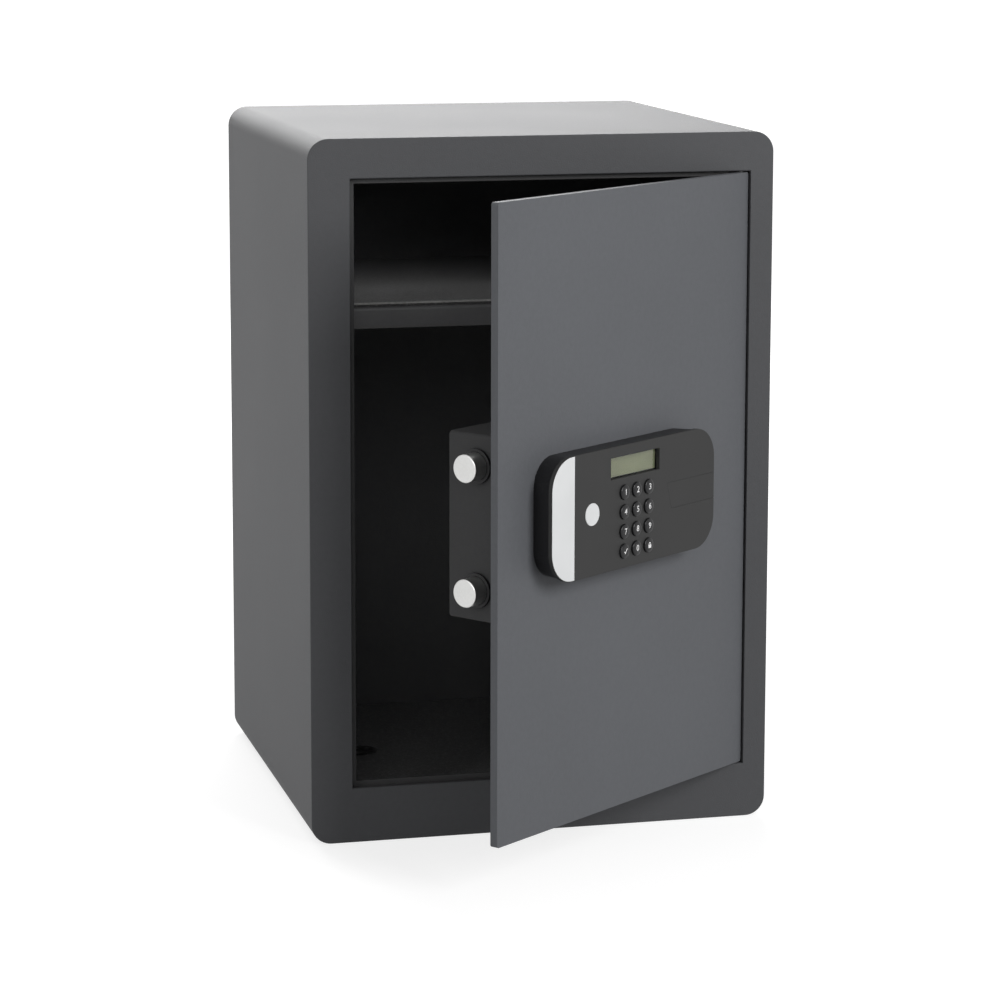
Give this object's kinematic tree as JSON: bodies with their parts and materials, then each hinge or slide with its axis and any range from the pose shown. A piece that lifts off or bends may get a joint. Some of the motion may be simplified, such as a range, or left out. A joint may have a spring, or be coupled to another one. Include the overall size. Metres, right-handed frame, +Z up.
{
  "type": "electronic safe",
  "caption": "Upright steel safe with a shelf and a flush door, hinged on the right, that carries a keypad panel and two round motor-driven bolts; the door stands open.",
  "frame": {"origin": "centre of the cabinet's underside", "axes": "+X to the right seen from the front, +Y into the safe, +Z up"},
  "size_m": [0.35, 0.5177, 0.52],
  "materials": {
    "powder_coat": "satin",
    "inner_coat": "satin",
    "door_coat": "satin",
    "felt": "matte",
    "brass": "satin",
    "bright_steel": "polished",
    "zinc_plated": "satin",
    "black_plastic": "matte",
    "fascia_plastic": "satin",
    "key_plastic": "satin",
    "silver_trim": "satin",
    "clear_pane": "clear",
    "lcd_screen": "satin",
    "circuit_board": "satin",
    "cable_grey": "satin",
    "white_plastic": "satin",
    "battery_wrap": "satin",
    "red_plastic": "satin"
  },
  "bodies": {
    "cabinet": {"outer_wrap": "powder_coat", "back_panel": "powder_coat", "front_frame": "powder_coat", "door_stop_frame": "inner_coat", "hinge_jamb": "powder_coat", "floor_pan": "inner_coat", "floor_mat": "felt", "shelf_rail_left": "inner_coat", "shelf_rail_right": "inner_coat", "hinge_bearing_top": "powder_coat", "hinge_bearing_bottom": "powder_coat", "thrust_washer": "brass"},
    "door": {"door_plate": "door_coat", "hinge_pins": "bright_steel", "panel_base": "black_plastic", "panel_fascia": "fascia_plastic", "silver_trim": "silver_trim", "badge_disc": "silver_trim", "lcd_window": "clear_pane", "lcd_screen": "lcd_screen", "key_board": "circuit_board", "keypad_cable": "cable_grey", "panel_screws": "zinc_plated", "override_lock": "bright_steel", "lock_nut": "zinc_plated", "lock_case": "inner_coat", "case_screws": "zinc_plated", "bolt_bushes": "black_plastic", "mounting_plate": "zinc_plated", "rack_guides": "white_plastic", "gear_motor": "zinc_plated", "control_board": "circuit_board", "board_spacers": "bright_steel", "battery_box": "black_plastic", "batteries": "battery_wrap", "reset_switch": "black_plastic"},
    "shelf_tray": {"shelf": "inner_coat", "shelf_mat": "felt"},
    "bolts": {"bolt_upper": "bright_steel", "bolt_lower": "bright_steel", "bolt_bar": "zinc_plated", "bolt_rack": "zinc_plated"},
    "gear": {"drive_gear": "brass"},
    "barrel": {"key_barrel": "brass", "lock_cam": "zinc_plated"},
    "battery_lid": {"battery_cover": "black_plastic"},
    "lock_cover": {"override_cover": "fascia_plastic"},
    "set_button": {"reset_button": "red_plastic"},
    "key_1": {"key_1": "key_plastic"},
    "key_2": {"key_2": "key_plastic"},
    "key_3": {"key_3": "key_plastic"},
    "key_4": {"key_4": "key_plastic"},
    "key_5": {"key_5": "key_plastic"},
    "key_6": {"key_6": "key_plastic"},
    "key_7": {"key_7": "key_plastic"},
    "key_8": {"key_8": "key_plastic"},
    "key_9": {"key_9": "key_plastic"},
    "key_enter": {"key_enter": "key_plastic"},
    "key_0": {"key_0": "key_plastic"},
    "key_lock": {"key_lock": "key_plastic"}
  },
  "joints": [
    {"name": "door_swing", "type": "hinge", "parent": "cabinet", "child": "door", "pos_m": [0.1509, -0.1648, 0.2655], "axis": [0, 0, 1], "range_deg": [-37.5, 57.5]},
    {"name": "shelf_lift", "type": "slide", "parent": "cabinet", "child": "shelf_tray", "axis": [0, 0, 1], "range_m": [0, 0.012]},
    {"name": "bolt_slide", "type": "slide", "parent": "door", "child": "bolts", "axis": [-0.7934, -0.6088, 0], "range_m": [0, 0.018]},
    {"name": "gear_turn", "type": "hinge", "parent": "door", "child": "gear", "pos_m": [-0.03474, -0.26981, 0.26575], "axis": [-0.6088, 0.7934, 0], "range_deg": [0, 129]},
    {"name": "barrel_turn", "type": "hinge", "parent": "door", "child": "barrel", "pos_m": [0.08049, -0.22286, 0.2675], "axis": [0.6088, -0.7934, 0], "range_deg": [0, 90]},
    {"name": "battery_cover_slide", "type": "slide", "parent": "door", "child": "battery_lid", "axis": [0, 0, 1], "range_m": [0, 0.05]},
    {"name": "lock_cover_slide", "type": "slide", "parent": "door", "child": "lock_cover", "axis": [0.7934, 0.6088, 0], "range_m": [0, 0.05]},
    {"name": "set_button_press", "type": "slide", "parent": "door", "child": "set_button", "axis": [0.6088, -0.7934, 0], "range_m": [0, 0.0015], "stiffness_N_per_m": 400},
    {"name": "key_0_press", "type": "slide", "parent": "door", "child": "key_0", "axis": [-0.6088, 0.7934, 0], "range_m": [0, 0.001], "stiffness_N_per_m": 500},
    {"name": "key_1_press", "type": "slide", "parent": "door", "child": "key_1", "axis": [-0.6088, 0.7934, 0], "range_m": [0, 0.001], "stiffness_N_per_m": 500},
    {"name": "key_2_press", "type": "slide", "parent": "door", "child": "key_2", "axis": [-0.6088, 0.7934, 0], "range_m": [0, 0.001], "stiffness_N_per_m": 500},
    {"name": "key_3_press", "type": "slide", "parent": "door", "child": "key_3", "axis": [-0.6088, 0.7934, 0], "range_m": [0, 0.001], "stiffness_N_per_m": 500},
    {"name": "key_4_press", "type": "slide", "parent": "door", "child": "key_4", "axis": [-0.6088, 0.7934, 0], "range_m": [0, 0.001], "stiffness_N_per_m": 500},
    {"name": "key_5_press", "type": "slide", "parent": "door", "child": "key_5", "axis": [-0.6088, 0.7934, 0], "range_m": [0, 0.001], "stiffness_N_per_m": 500},
    {"name": "key_6_press", "type": "slide", "parent": "door", "child": "key_6", "axis": [-0.6088, 0.7934, 0], "range_m": [0, 0.001], "stiffness_N_per_m": 500},
    {"name": "key_7_press", "type": "slide", "parent": "door", "child": "key_7", "axis": [-0.6088, 0.7934, 0], "range_m": [0, 0.001], "stiffness_N_per_m": 500},
    {"name": "key_8_press", "type": "slide", "parent": "door", "child": "key_8", "axis": [-0.6088, 0.7934, 0], "range_m": [0, 0.001], "stiffness_N_per_m": 500},
    {"name": "key_9_press", "type": "slide", "parent": "door", "child": "key_9", "axis": [-0.6088, 0.7934, 0], "range_m": [0, 0.001], "stiffness_N_per_m": 500},
    {"name": "key_enter_press", "type": "slide", "parent": "door", "child": "key_enter", "axis": [-0.6088, 0.7934, 0], "range_m": [0, 0.001], "stiffness_N_per_m": 500},
    {"name": "key_lock_press", "type": "slide", "parent": "door", "child": "key_lock", "axis": [-0.6088, 0.7934, 0], "range_m": [0, 0.001], "stiffness_N_per_m": 500}
  ],
  "couplings": [
    {"joint": "gear_turn", "follows": "bolt_slide", "rad_per_m": 125}
  ]
}
